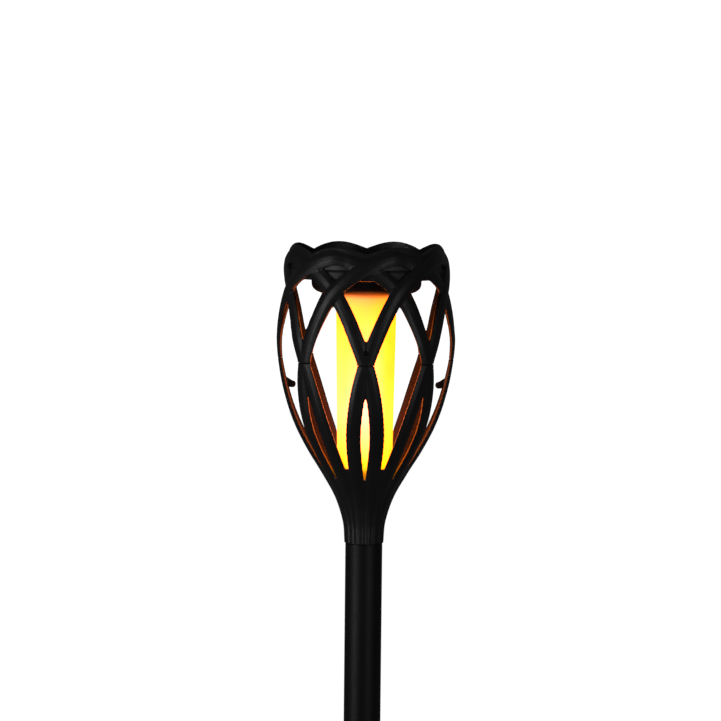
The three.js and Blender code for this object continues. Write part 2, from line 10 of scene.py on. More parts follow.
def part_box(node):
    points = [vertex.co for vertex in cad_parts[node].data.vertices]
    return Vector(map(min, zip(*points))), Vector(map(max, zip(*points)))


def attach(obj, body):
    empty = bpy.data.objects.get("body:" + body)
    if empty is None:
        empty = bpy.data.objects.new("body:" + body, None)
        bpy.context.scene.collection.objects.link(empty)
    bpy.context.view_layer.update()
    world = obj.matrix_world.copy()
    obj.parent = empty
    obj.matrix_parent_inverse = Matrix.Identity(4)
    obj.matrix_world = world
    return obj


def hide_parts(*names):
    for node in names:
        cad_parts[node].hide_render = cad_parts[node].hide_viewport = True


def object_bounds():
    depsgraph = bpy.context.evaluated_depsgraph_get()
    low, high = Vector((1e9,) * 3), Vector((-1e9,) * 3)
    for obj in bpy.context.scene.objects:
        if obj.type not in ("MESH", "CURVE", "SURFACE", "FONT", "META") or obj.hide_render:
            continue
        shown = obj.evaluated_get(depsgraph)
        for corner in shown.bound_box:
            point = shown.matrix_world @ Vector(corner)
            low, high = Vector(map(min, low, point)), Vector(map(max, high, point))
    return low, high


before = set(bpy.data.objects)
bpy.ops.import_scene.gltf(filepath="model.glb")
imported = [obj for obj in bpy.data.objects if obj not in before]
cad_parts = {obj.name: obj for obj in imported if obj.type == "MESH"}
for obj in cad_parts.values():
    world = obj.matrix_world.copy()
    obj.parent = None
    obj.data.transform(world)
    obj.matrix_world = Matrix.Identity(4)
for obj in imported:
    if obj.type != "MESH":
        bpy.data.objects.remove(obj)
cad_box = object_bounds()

MM = 0.001
TURN = 2 * math.pi

# ---------- places taken from the frame ----------

_, POLE_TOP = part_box("upper_pole")
NECK_BOTTOM = -1.7
FIT_GAP = 0.3
HEAD_BASE = POLE_TOP[2] + (FIT_GAP - NECK_BOTTOM) * MM

# ---------- basket shape, in millimetres, heights from HEAD_BASE ----------

PROFILE = [
    (-4, 13.7), (0, 13.7), (13, 14.9), (30, 20.4), (46, 29.3), (63, 39.8), (79, 48.1), (96, 54.3),
    (118, 59.3), (141, 61.5), (174, 59.5), (186, 57.4), (195, 56.2), (205, 54.0), (210, 52.4),
]
QUARTERS = 4
ARC_COUNT = 8
ARC_DEGREES = 360 / ARC_COUNT

# An arc's path as (degrees from its peak, height); where its legs begin, where the cap over its peak ends,
# and the degrees over which the cap steps from the outer layer to the inner one
ARC_PATH = [(0, 197.3), (22.5, 190.5), (45, 174.3), (67.5, 125.9), (76.8, 83), (78.75, 56), (78.75, -4)]
PATH_STEPS = 40
LEG_START = 10
CAP_END = 14
CAP_STEP = (-5, 9)

SPLIT_HEIGHT = 125.9
JOINT_GAP = 0.15
JOINT_SHOW = 0.06
JOINT_ROUNDING = 0.15
STRAND_WIDTH = 10.6
STRAND_OVERLAP = 0.3
STRAND_DRAFT = 0.45
STRAND_THICKNESS = 2.9
EDGE_ROUNDING = 0.3
INNER_ROUNDING = 0.1
WEAVE_STEP = 1.3
WEAVE_START = 138
WEAVE_FULL = 160
LAYER_BLEND = 0.25
BEVEL_DEPTH = 1.2
BEVEL_FLAT = 0.36

# Webs in the acute corners: pointed at the ends of the basket, filleted between these heights
FILLET = 1.6
POINTED = 1.2
FILLET_START = (96, 108)
FILLET_END = (180, 187)
WEB_BLEND = 0.3

NECK = {"height": 49, "scallop": 4, "depth": 0.55, "wall": 3.2, "rounding": 0.7, "blend": 0.6}
CROWN = {"bottom": 182, "valley": 199.7, "peak": 204.7, "bore": 51, "draft": 0.12, "rounding": 0.25}
CROWN_DEPTH = [(182, 3.2), (188.3, 3.2), (188.7, 3.9), (195, 3.0), (200, 1.9), (205, 1.3)]
SHELF = {"radius": 47, "top": 183.5, "rounding": 0.1}
TONGUE = {"outer": 1.7, "inner": 2.8, "half_width": 2.0, "bottom": 121, "top": 137, "blend": 0.2}
STUD = {"height": 134.8, "radius": 1.2, "sunk": 0.7, "hole": -2}
HOOK = {
    "radius": 2.2, "out": 50.2, "height": 107.9, "top": 114.9, "bottom": 106, "half_width": 1.5,
    "root": 1, "root_depth": 1.5, "knob_wider": 1, "blend": 0.6,
}

# The grid that the basket is cut from: the radius that sets its steps round, and how far it runs
GRID = {"radius": 61, "outside": 1.5, "inside": 13.0, "margin": 2.0, "overlap": 16, "depth_step": 0.75}

# Degrees between faces beyond which an edge is shaded sharp, and metres within which points are one
SHARP = 35
WELD = 1e-6

# Millimetres from the axis that count as on it, and the most of an edge that a rounded corner may take
ON_AXIS = 1e-6
CORNER_SHARE = 0.45


def smooth(pairs, at):
    """A smooth curve through (position, value) pairs, read at an array of positions."""
    places = np.array([p for p, _ in pairs], float)
    values = np.array([v for _, v in pairs], float)
    slopes = np.empty(len(pairs))
    slopes[1:-1] = (values[2:] - values[:-2]) / (places[2:] - places[:-2])
    slopes[0] = (values[1] - values[0]) / (places[1] - places[0])
    slopes[-1] = (values[-1] - values[-2]) / (places[-1] - places[-2])
    at = np.asarray(at, float)
    i = np.clip(np.searchsorted(places, at) - 1, 0, len(pairs) - 2)
    span = places[i + 1] - places[i]
    t = (at - places[i]) / span
    blend = t * t * (3 - 2 * t)
    lead = t * (1 - t) ** 2 * slopes[i] * span
    trail = t * t * (1 - t) * slopes[i + 1] * span
    return values[i] + (values[i + 1] - values[i]) * blend + lead - trail


def radius_at(height):
    return smooth(PROFILE, height)


def slant_at(height):
    """Length along the basket's face for each millimetre of height."""
    rise = (radius_at(height + 0.5) - radius_at(height - 0.5)) / 1.0
    return np.sqrt(1 + rise**2)


def ease(value, low, high):
    t = np.clip((value - low) / (high - low), 0, 1)
    return t * t * (3 - 2 * t)


def soft_min(a, b, reach):
    overlap = np.maximum(reach - np.abs(a - b), 0) / reach
    return np.minimum(a, b) - overlap**2 * reach / 4


def soft_max(a, b, reach):
    return -soft_min(-a, -b, reach)


def leg_line(samples=160):
    """Points (degrees from the peak, height) on a smooth curve along half an arc, evenly spaced."""
    right = [Vector((d, h, 0)) for d, h in ARC_PATH]
    whole = [Vector((-v.x, v.y, 0)) for v in reversed(right[1:])] + right
    start = len(right) - 1
    line = []
    for i in range(start, len(whole) - 1):
        p0, p1, p2 = whole[i - 1], whole[i], whole[i + 1]
        p3 = whole[i + 2] if i + 2 < len(whole) else p2 + (p2 - p1)
        knots = [0.0]
        for a, b in ((p0, p1), (p1, p2), (p2, p3)):
            knots.append(knots[-1] + (b - a).length ** 0.5)
        t0, t1, t2, t3 = knots
        for step in range(PATH_STEPS):
            t = t1 + (t2 - t1) * step / PATH_STEPS
            a1 = p0 * ((t1 - t) / (t1 - t0)) + p1 * ((t - t0) / (t1 - t0))
            a2 = p1 * ((t2 - t) / (t2 - t1)) + p2 * ((t - t1) / (t2 - t1))
            a3 = p2 * ((t3 - t) / (t3 - t2)) + p3 * ((t - t2) / (t3 - t2))
            b1 = a1 * ((t2 - t) / (t2 - t0)) + a2 * ((t - t0) / (t2 - t0))
            b2 = a2 * ((t3 - t) / (t3 - t1)) + a3 * ((t - t1) / (t3 - t1))
            point = b1 * ((t2 - t) / (t2 - t1)) + b2 * ((t - t1) / (t2 - t1))
            line.append((point.x, point.y))
    line.append((whole[-1].x, whole[-1].y))
    line = np.array(line)
    run = np.concatenate([[0], np.cumsum(np.hypot(*np.diff(line, axis=0).T))])
    even = np.linspace(0, run[-1], samples)
    return np.stack([np.interp(even, run, line[:, 0]), np.interp(even, run, line[:, 1])], axis=1)


def on_basket(azimuth, radius, height):
    """Azimuth 0 faces -Y and grows towards +X."""
    return np.stack([radius * np.sin(azimuth), -radius * np.cos(azimuth), height + 0 * azimuth], axis=-1)


def distance_to_line(points, line):
    """Distance from each point to an open polyline."""
    best = np.full(points.shape[:-1], 1e9)
    for a, b in zip(line[:-1], line[1:]):
        along = b - a
        share = np.clip(((points - a) @ along) / (along @ along), 0, 1)
        gap = points - a - share[..., None] * along
        best = np.minimum(best, (gap**2).sum(-1))
    return np.sqrt(best)


def surface_net(field):
    """Vertices, in grid steps, and quads of the surface where the field is zero. The first axis wraps."""
    count = field.shape[0]
    cells = (count, field.shape[1] - 1, field.shape[2] - 1)
    total = np.zeros(cells + (3,))
    hits = np.zeros(cells)
    crossings = []
    ahead = [np.roll(field, -1, 0), field[:, 1:, :], field[:, :, 1:]]
    here = [field, field[:, :-1, :], field[:, :, :-1]]
    for axis in range(3):
        start, end = here[axis], ahead[axis]
        change = (start < 0) != (end < 0)
        i, j, k = np.nonzero(change)
        share = start[change] / (start[change] - end[change])
        across = [other for other in range(3) if other != axis]
        corners = []
        for shift in ((-1, -1), (0, -1), (0, 0), (-1, 0)):
            cell = np.stack([i, j, k])
            local = np.zeros((3, len(i)))
            local[axis] = share
            for other, step in zip(across, shift):
                cell[other] += step
                local[other] = -step
            cell[0] %= count
            corners.append(cell)
            inside = np.all([(0 <= cell[n]) & (cell[n] < cells[n]) for n in range(3)], axis=0)
            spot = tuple(cell[:, inside])
            for n in range(3):
                np.add.at(total[..., n], spot, local[n][inside])
            np.add.at(hits, spot, 1)
        crossings.append(corners)
    used = hits > 0
    index = np.full(cells, -1)
    index[used] = np.arange(used.sum())
    base = np.stack(np.nonzero(used), axis=1)
    vertices = base + total[used] / hits[used][:, None]
    quads = []
    wraps = []
    for axis, corners in enumerate(crossings):
        quads.append(np.stack([index[tuple(cell)] for cell in corners], axis=1))
        first = np.stack([cell[0] for cell in corners], axis=1)
        wraps.append((first.max(1, keepdims=True) - first) > count // 2)
    return vertices, np.concatenate(quads), np.concatenate(wraps)


def slab(edge, top, bottom, depth, rounding, draft=0.0):
    """A plate whose outline is where edge is zero, between two depths. It narrows inwards by the draft."""
    sides = edge[..., None] + draft * np.maximum(depth - top[..., None], 0)
    shape = soft_max(sides, top[..., None] - depth, rounding)
    return soft_max(shape, depth - bottom[..., None], INNER_ROUNDING)


def strand_distances(full, heights):
    """Distance along the basket's face to the over strands, the under strands and the arcs' peaks."""
    a, h = np.meshgrid(full, heights, indexing="ij")
    skin = on_basket(a, radius_at(h), h)
    leg = leg_line()
    legs = leg[leg[:, 0] >= LEG_START]
    cap = leg[leg[:, 0] <= CAP_END]
    cap = np.concatenate([cap[::-1] * np.array([-1, 1]), cap[1:]])
    one_arc = len(full) // ARC_COUNT
    distances = []
    for path in (legs * np.array([-1, 1]), legs, cap):
        line = on_basket(np.radians(path[:, 0] + ARC_DEGREES / 2), radius_at(path[:, 1]), path[:, 1])
        apart = distance_to_line(skin, line)
        distances.append(np.min([np.roll(apart, i * one_arc, 0) for i in range(ARC_COUNT)], axis=0))
    return distances


def basket_field(azimuths, heights, depths):
    """How far each grid point is outside the basket, in millimetres, for one quarter turn."""
    quarter = len(azimuths)
    full = np.linspace(0, TURN, quarter * QUARTERS, endpoint=False)
    over, under, peak = [layer[:quarter] for layer in strand_distances(full, heights)]
    a, h = np.meshgrid(full[:quarter], heights, indexing="ij")
    from_peak = (np.degrees(a) % ARC_DEGREES) - ARC_DEGREES / 2
    half = np.minimum(STRAND_WIDTH / 2, TURN * radius_at(h) / (4 * ARC_COUNT) + STRAND_OVERLAP)
    depth = depths[None, None, :]
    weave = WEAVE_STEP * ease(h, WEAVE_START, WEAVE_FULL)

    def strand(distance, step):
        bevel = BEVEL_DEPTH * np.clip((distance / half - BEVEL_FLAT) / (1 - BEVEL_FLAT), 0, 1)
        bottom = step + STRAND_THICKNESS
        return slab(distance - half, step + bevel, bottom, depth, EDGE_ROUNDING, STRAND_DRAFT)

    woven = soft_min(strand(over, 0 * h), strand(under, weave), LAYER_BLEND)
    woven = soft_min(woven, strand(peak, WEAVE_STEP * ease(from_peak, *CAP_STEP)), LAYER_BLEND)

    reach = POINTED + FILLET * ease(h, *FILLET_START) * (1 - ease(h, *FILLET_END))
    joined = soft_min(over - half, under - half, reach)
    web_bottom = weave + STRAND_THICKNESS
    web = slab(joined, weave + BEVEL_DEPTH, web_bottom, depth, EDGE_ROUNDING, STRAND_DRAFT)
    field = soft_min(woven, web, WEB_BLEND)

    neck_top = NECK["height"] - NECK["scallop"] * np.cos(ARC_COUNT * a)
    neck = slab(h - neck_top, NECK["depth"] + 0 * h, NECK["wall"] + 0 * h, depth, NECK["rounding"])
    field = soft_min(field, neck, NECK["blend"])

    slant = slant_at(h)
    face = np.interp(h, *np.array(CROWN_DEPTH).T)
    scallop = np.abs(np.sin(ARC_COUNT / 2 * a))
    top = CROWN["valley"] + (CROWN["peak"] - CROWN["valley"]) * scallop
    bore = (radius_at(h) - CROWN["bore"]) / slant
    wall_edge = np.maximum(CROWN["bottom"] - h, h - top)
    wall = slab(wall_edge, face, bore, depth, CROWN["rounding"], CROWN["draft"])
    shelf_end = (radius_at(h) - SHELF["radius"]) / slant
    shelf_edge = np.maximum(CROWN["bottom"] - h, h - SHELF["top"])
    shelf = slab(shelf_edge, face, shelf_end, depth, SHELF["rounding"])
    return soft_min(field, np.minimum(wall, shelf), LAYER_BLEND)


def quarter_features(azimuths, heights, depths):
    """Fields of the hook, the tongue with its stud, and the channel and hole for them."""
    h = heights[None, :, None]
    depth = depths[None, None, :]
    r = radius_at(h) - depth * slant_at(h)
    quarter_turn = TURN / QUARTERS
    shift = (azimuths[:, None, None] + quarter_turn / 2) % quarter_turn - quarter_turn / 2
    side = r * np.sin(shift)
    out = r * np.cos(shift)

    def inside(*gaps):
        return np.maximum.reduce(np.broadcast_arrays(*gaps))

    knob_high = HOOK["height"] + HOOK["radius"]
    knob_low = HOOK["height"] - HOOK["radius"]
    rise_top = (HOOK["top"] - knob_high) / (radius_at(HOOK["top"]) - HOOK["root"] - HOOK["out"])
    rise_low = (HOOK["bottom"] - knob_low) / (radius_at(HOOK["bottom"]) - HOOK["root"] - HOOK["out"])
    span = out - HOOK["out"]
    arm = inside(
        -span,
        HOOK["root_depth"] - depth,
        np.abs(side) - HOOK["half_width"],
        h - knob_high - rise_top * span,
        knob_low + rise_low * span - h,
    )
    round_end = np.hypot(span, h - HOOK["height"]) - HOOK["radius"]
    knob = inside(round_end, np.abs(side) - HOOK["half_width"] - HOOK["knob_wider"])

    def fitting(gap, tip):
        plate = inside(
            TONGUE["outer"] - gap - depth,
            depth - TONGUE["inner"] - 2 * gap,
            np.abs(side) - TONGUE["half_width"] - gap,
            TONGUE["bottom"] - h,
            h - TONGUE["top"] - gap,
        )
        reach = np.hypot(side, h - STUD["height"]) - STUD["radius"] - gap
        return np.minimum(plate, inside(reach, tip - depth, depth - TONGUE["inner"]))

    return np.minimum(arm, knob), fitting(0, STUD["sunk"]), fitting(FIT_GAP, STUD["hole"])


def build_basket(name, lower, spacing):
    """The lower or upper basket moulding: one quarter turn of surface, repeated round the axis."""
    quarter_turn = TURN / QUARTERS
    quarter = int(round(GRID["radius"] * quarter_turn / spacing / 2)) * 2
    azimuths = np.arange(quarter) * (quarter_turn / quarter)
    if lower:
        low, high = NECK_BOTTOM - GRID["margin"], SPLIT_HEIGHT + GRID["overlap"]
    else:
        low, high = SPLIT_HEIGHT - GRID["margin"], CROWN["peak"] + GRID["margin"]
    heights = np.arange(low, high + spacing, spacing)
    depths = np.arange(-GRID["outside"], GRID["inside"], spacing * GRID["depth_step"])
    field = basket_field(azimuths, heights, depths)
    h = heights[None, :, None]
    split = h - SPLIT_HEIGHT
    cut = np.maximum(split - JOINT_GAP + JOINT_SHOW, NECK_BOTTOM - h) if lower else JOINT_GAP - split
    field = soft_max(field, cut + 0 * field, JOINT_ROUNDING)
    hook, tongue, seat = quarter_features(azimuths, heights, depths)
    if lower:
        field = soft_min(soft_min(field, hook, HOOK["blend"]), tongue, TONGUE["blend"])
    else:
        field = soft_max(field, -seat, TONGUE["blend"])
    field[:, 0] = field[:, -1] = 1
    field[:, :, 0] = field[:, :, -1] = 1
    steps, quads, wraps = surface_net(field)
    azimuth = steps[:, 0] * (quarter_turn / quarter)
    height = np.interp(steps[:, 1], np.arange(len(heights)), heights)
    depth = np.interp(steps[:, 2], np.arange(len(depths)), depths)
    radius = radius_at(height) - depth * slant_at(height)
    points = []
    faces = []
    for turn in range(QUARTERS):
        points.append(on_basket(azimuth + turn * quarter_turn, radius, height))
        sector = (turn + wraps) % QUARTERS
        faces.append(quads + sector * len(steps))
    points = np.concatenate(points) * MM + np.array([0, 0, HEAD_BASE])
    return finished(welded(points.tolist(), np.concatenate(faces).tolist()), name)


def welded(points, faces):
    """The faces as a bmesh, with points that coincide made one."""
    raw = bpy.data.meshes.new("raw")
    raw.from_pydata(points, [], faces)
    raw.validate()
    work = bmesh.new()
    work.from_mesh(raw)
    bpy.data.meshes.remove(raw)
    bmesh.ops.remove_doubles(work, verts=work.verts, dist=WELD)
    return work


def finished(work, name):
    """A smooth shaded piece from a bmesh, with its faces turned out and its corners sharp."""
    bmesh.ops.recalc_face_normals(work, faces=work.faces)
    mesh = bpy.data.meshes.new(name)
    work.to_mesh(mesh)
    work.free()
    for polygon in mesh.polygons:
        polygon.use_smooth = True
    mesh.set_sharp_from_angle(angle=math.radians(SHARP))
    piece = bpy.data.objects.new(name, mesh)
    bpy.context.scene.collection.objects.link(piece)
    return piece


def rounded(outline, reach, steps=4):
    """The closed outline with its corners replaced by short arcs."""
    points = [Vector(p) for p in outline]
    result = []
    for i, corner in enumerate(points):
        before, after = points[i - 1], points[(i + 1) % len(points)]
        if corner.x < ON_AXIS:
            result.append(corner)
            continue
        back, forth = before - corner, after - corner
        cut = min(reach, back.length * CORNER_SHARE, forth.length * CORNER_SHARE)
        start, end = corner + back.normalized() * cut, corner + forth.normalized() * cut
        for step in range(steps + 1):
            t = step / steps
            result.append(start * (1 - t) ** 2 + corner * 2 * t * (1 - t) + end * t * t)
    return result


def turned(name, outline, base=0.0, centre=(0, 0), segments=96, reach=0.5):
    """A piece of revolution from a closed outline of (radius, height) in millimetres."""
    rim = rounded(outline, reach)
    points = []
    faces = []
    for step in range(segments):
        angle = step * TURN / segments
        for p in rim:
            points.append((
                (p.x * math.cos(angle) + centre[0]) * MM,
                (p.x * math.sin(angle) + centre[1]) * MM,
                p.y * MM + base,
            ))
    count = len(rim)
    for step in range(segments):
        onward = (step + 1) % segments
        for i in range(count):
            j = (i + 1) % count
            if rim[i].x < ON_AXIS and rim[j].x < ON_AXIS:
                continue
            faces.append((step * count + i, onward * count + i, onward * count + j, step * count + j))
    work = welded(points, faces)
    bmesh.ops.dissolve_degenerate(work, edges=work.edges, dist=WELD / 10)
    return finished(work, name)


def lofted(name, levels, base, segments=96):
    """A closed piece through level outlines of (size, squareness, height) in millimetres."""
    work = bmesh.new()
    rims = []
    for size, squareness, height in levels:
        rim = []
        for step in range(segments):
            angle = step * TURN / segments
            square = 1 / max(abs(math.cos(angle)), abs(math.sin(angle)))
            reach = size * (1 + (square - 1) * squareness) * MM
            place = (reach * math.cos(angle), reach * math.sin(angle), height * MM + base)
            rim.append(work.verts.new(place))
        rims.append(rim)
    for lower_rim, upper_rim in zip(rims[:-1], rims[1:]):
        for step in range(segments):
            onward = (step + 1) % segments
            work.faces.new((lower_rim[step], lower_rim[onward], upper_rim[onward], upper_rim[step]))
    for rim, height in ((rims[0], levels[0][2]), (rims[-1], levels[-1][2])):
        centre = work.verts.new((0, 0, height * MM + base))
        for step in range(segments):
            work.faces.new((rim[step], rim[(step + 1) % segments], centre))
    return finished(work, name)


def bevelled_prism(work, outline, thickness, turn, bevel):
    """Adds an upright plate with softened edges; its outline is (distance from the axis, height)."""
    turned_by = Matrix.Rotation(turn, 3, "Z")
    sides = []
    for side in (-0.5, 0.5):
        places = [turned_by @ Vector((x, side * thickness, z)) * MM for x, z in outline]
        sides.append([work.verts.new(place) for place in places])
    count = len(outline)
    faces = [work.faces.new(sides[0]), work.faces.new(sides[1][::-1])]
    for i in range(count):
        j = (i + 1) % count
        faces.append(work.faces.new((sides[0][i], sides[1][i], sides[1][j], sides[0][j])))
    edges = list({edge for face in faces for edge in face.edges})
    bmesh.ops.bevel(work, geom=edges, offset=bevel * MM, segments=2, profile=0.6, affect="EDGES")


def drilled(piece, radius, low, high, centres, base):
    """Cuts round upright holes, given in millimetres, through a piece."""
    for x, y in centres:
        outline = [(0, low), (radius, low), (radius, high), (0, high)]
        cutter = turned("cutter", outline, base, centre=(x, y), segments=32, reach=0.01)
        cut = piece.modifiers.new("hole", "BOOLEAN")
        cut.operation = "DIFFERENCE"
        cut.solver = "EXACT"
        cut.object = cutter
        bpy.context.view_layer.update()
        mesh = bpy.data.meshes.new_from_object(piece.evaluated_get(bpy.context.evaluated_depsgraph_get()))
        piece.modifiers.clear()
        piece.data = mesh
        bpy.data.objects.remove(cutter)
    piece.data.set_sharp_from_angle(angle=math.radians(SHARP))


# ---------- materials ----------


def node_material(name):
    material = bpy.data.materials.new(name)
    material.use_nodes = True
    nodes = material.node_tree.nodes
    shader = nodes["Principled BSDF"]
    place = nodes.new("ShaderNodeTexCoord")
    return material, nodes, material.node_tree.links, shader, place.outputs["Object"]


def noise_between(nodes, links, place, scale, low, high, detail=4.0):
    noise = nodes.new("ShaderNodeTexNoise")
    noise.inputs["Scale"].default_value = scale
    noise.inputs["Detail"].default_value = detail
    links.new(place, noise.inputs["Vector"])
    spread = nodes.new("ShaderNodeMapRange")
    spread.inputs["From Min"].default_value = 0.3
    spread.inputs["From Max"].default_value = 0.7
    spread.inputs["To Min"].default_value = low
    spread.inputs["To Max"].default_value = high
    links.new(noise.outputs["Fac"], spread.inputs["Value"])
    return spread.outputs["Result"]


def moulded(name, dark, light, roughness, grain=2600.0, bump=0.08, metallic=0.0, shine=0.5):
    """Moulded plastic or metal: slightly uneven colour, fine grain and patchy gloss."""
    material, nodes, links, shader, place = node_material(name)
    shade = noise_between(nodes, links, place, 34.0, 0.0, 1.0)
    mix = nodes.new("ShaderNodeMix")
    mix.data_type = "RGBA"
    mix.inputs["A"].default_value = (*dark, 1)
    mix.inputs["B"].default_value = (*light, 1)
    links.new(shade, mix.inputs["Factor"])
    links.new(mix.outputs["Result"], shader.inputs["Base Color"])
    gloss = noise_between(nodes, links, place, 90.0, roughness[0], roughness[1])
    links.new(gloss, shader.inputs["Roughness"])
    texture = nodes.new("ShaderNodeTexNoise")
    texture.inputs["Scale"].default_value = grain
    texture.inputs["Detail"].default_value = 2.0
    links.new(place, texture.inputs["Vector"])
    relief = nodes.new("ShaderNodeBump")
    relief.inputs["Strength"].default_value = bump
    relief.inputs["Distance"].default_value = 0.0001
    links.new(texture.outputs["Fac"], relief.inputs["Height"])
    links.new(relief.outputs["Normal"], shader.inputs["Normal"])
    shader.inputs["Metallic"].default_value = metallic
    shader.inputs["Specular IOR Level"].default_value = shine
    return material


# Light given off by the tube, from its foot (0) to its top (1), and how pale it is from left to right
FLAME_PEAK = 7.5
FLAME_COLOURS = [
    (0.0, (0.4, 0.08, 0.0)), (0.05, (0.8, 0.24, 0.0)), (0.08, (3.0, 0.9, 0.005)), (0.11, (6.4, 1.05, 0.02)),
    (0.2, (7.0, 1.12, 0.26)), (0.37, (7.0, 1.16, 0.72)), (0.55, (7.0, 1.08, 0.4)), (0.72, (6.2, 0.94, 0.18)),
    (0.86, (4.8, 0.84, 0.06)), (0.93, (4.0, 0.66, 0.05)), (0.97, (3.0, 0.46, 0.09)),
    (0.985, (1.1, 0.16, 0.02)), (1.0, (0.35, 0.03, 0.0)),
]
FLAME_TOP = 172
FLAME_HEART = [(0.0, 0.3), (0.2, 0.4), (0.5, 1.0), (0.8, 0.12), (1.0, 0.04)]


def colour_ramp(nodes, stops):
    ramp = nodes.new("ShaderNodeValToRGB")
    elements = ramp.color_ramp.elements
    elements[0].position = stops[0][0]
    elements[1].position = stops[-1][0]
    for position, _ in stops[1:-1]:
        elements.new(position)
    for element, (_, colour) in zip(elements, stops):
        element.color = (*colour, 1)
    return ramp


def flame_material():
    """Frosted tube lit from inside: deep orange at its ends, yellow between, near white in its heart."""
    material, nodes, links, shader, place = node_material("flame_tube_glow")
    low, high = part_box("flame_tube")
    split = nodes.new("ShaderNodeSeparateXYZ")
    links.new(place, split.inputs["Vector"])
    share = nodes.new("ShaderNodeMapRange")
    share.inputs["From Min"].default_value = low[2]
    share.inputs["From Max"].default_value = HEAD_BASE + FLAME_TOP * MM
    links.new(split.outputs["Z"], share.inputs["Value"])
    stops = [(at, tuple(part / FLAME_PEAK for part in colour)) for at, colour in FLAME_COLOURS]
    ramp = colour_ramp(nodes, stops)
    links.new(share.outputs["Result"], ramp.inputs["Fac"])
    flicker = noise_between(nodes, links, place, 28.0, 0.85, 1.15, 2.0)
    glow = nodes.new("ShaderNodeVectorMath")
    glow.operation = "SCALE"
    across = nodes.new("ShaderNodeMapRange")
    across.inputs["From Min"].default_value = low[0]
    across.inputs["From Max"].default_value = high[0]
    links.new(split.outputs["X"], across.inputs["Value"])
    heart = colour_ramp(nodes, [(at, (level,) * 3) for at, level in FLAME_HEART])
    links.new(across.outputs["Result"], heart.inputs["Fac"])
    parts = nodes.new("ShaderNodeSeparateColor")
    links.new(ramp.outputs["Color"], parts.inputs["Color"])
    paler = nodes.new("ShaderNodeMath")
    paler.operation = "MULTIPLY"
    links.new(parts.outputs["Blue"], paler.inputs[0])
    links.new(heart.outputs["Color"], paler.inputs[1])
    whole = nodes.new("ShaderNodeCombineColor")
    links.new(parts.outputs["Red"], whole.inputs["Red"])
    links.new(parts.outputs["Green"], whole.inputs["Green"])
    links.new(paler.outputs["Value"], whole.inputs["Blue"])
    links.new(whole.outputs["Color"], glow.inputs[0])
    links.new(flicker, glow.inputs["Scale"])
    links.new(glow.outputs["Vector"], shader.inputs["Emission Color"])
    shader.inputs["Emission Strength"].default_value = FLAME_PEAK
    shader.inputs["Base Color"].default_value = (0.85, 0.55, 0.25, 1)
    shader.inputs["Roughness"].default_value = 0.55
    return material


BASKET_BLACK = moulded("basket_black", (0.008, 0.008, 0.009), (0.013, 0.013, 0.014), (0.36, 0.46))
POLE_BLACK = moulded(
    "pole_black", (0.002, 0.002, 0.0022), (0.004, 0.004, 0.0042), (0.46, 0.52),
    grain=900, bump=0.02, shine=0.35,
)
HOUSING_BLACK = moulded(
    "housing_black", (0.008, 0.008, 0.009), (0.014, 0.014, 0.015), (0.4, 0.5), grain=3400,
)
STEEL = moulded("plated_steel", (0.5, 0.51, 0.53), (0.62, 0.62, 0.64), (0.22, 0.34), metallic=1.0)
RUBBER = moulded(
    "black_rubber", (0.012, 0.012, 0.013), (0.02, 0.02, 0.022), (0.65, 0.8), grain=4000, bump=0.15,
)
BOARD = moulded("solder_mask", (0.012, 0.12, 0.045), (0.02, 0.17, 0.06), (0.3, 0.4))
WHITE = moulded("white_moulding", (0.75, 0.73, 0.68), (0.82, 0.8, 0.76), (0.4, 0.5))
WRAP = moulded("battery_wrap", (0.03, 0.13, 0.4), (0.05, 0.18, 0.5), (0.22, 0.3))
LEAD = moulded("red_insulation", (0.45, 0.015, 0.015), (0.55, 0.03, 0.025), (0.35, 0.45))
FLAME = flame_material()


def cell_material():
    """Dark blue silicon with fine silver fingers every two millimetres and two broader bars."""
    material, nodes, links, shader, place = node_material("solar_cell")
    split = nodes.new("ShaderNodeSeparateXYZ")
    links.new(place, split.inputs["Vector"])

    def stripes(pitch, width, offset):
        shift = nodes.new("ShaderNodeMath")
        shift.operation = "ADD"
        shift.inputs[1].default_value = offset * MM
        links.new(split.outputs["Y"], shift.inputs[0])
        wave = nodes.new("ShaderNodeMath")
        wave.operation = "PINGPONG"
        wave.inputs[1].default_value = pitch / 2 * MM
        links.new(shift.outputs["Value"], wave.inputs[0])
        line = nodes.new("ShaderNodeMath")
        line.operation = "LESS_THAN"
        line.inputs[1].default_value = width / 2 * MM
        links.new(wave.outputs["Value"], line.inputs[0])
        return line.outputs["Value"]

    both = nodes.new("ShaderNodeMath")
    both.operation = "MAXIMUM"
    links.new(stripes(pitch=2.0, width=0.16, offset=0.0), both.inputs[0])
    links.new(stripes(pitch=24.0, width=1.0, offset=12.0), both.inputs[1])
    silicon = noise_between(nodes, links, place, 160.0, 0.0, 1.0)
    blue = nodes.new("ShaderNodeMix")
    blue.data_type = "RGBA"
    blue.inputs["A"].default_value = (0.004, 0.007, 0.03, 1)
    blue.inputs["B"].default_value = (0.01, 0.016, 0.06, 1)
    links.new(silicon, blue.inputs["Factor"])
    lined = nodes.new("ShaderNodeMix")
    lined.data_type = "RGBA"
    lined.inputs["B"].default_value = (0.42, 0.43, 0.46, 1)
    links.new(both.outputs["Value"], lined.inputs["Factor"])
    links.new(blue.outputs["Result"], lined.inputs["A"])
    links.new(lined.outputs["Result"], shader.inputs["Base Color"])
    links.new(noise_between(nodes, links, place, 90.0, 0.18, 0.26), shader.inputs["Roughness"])
    return material


CELL = cell_material()


def cover_material():
    material, nodes, links, shader, place = node_material("clear_cover")
    gloss = noise_between(nodes, links, place, 60.0, 0.05, 0.12)
    links.new(gloss, shader.inputs["Roughness"])
    shader.inputs["Base Color"].default_value = (0.9, 0.93, 0.96, 1)
    shader.inputs["Transmission Weight"].default_value = 1.0
    shader.inputs["IOR"].default_value = 1.45
    return material


COVER = cover_material()


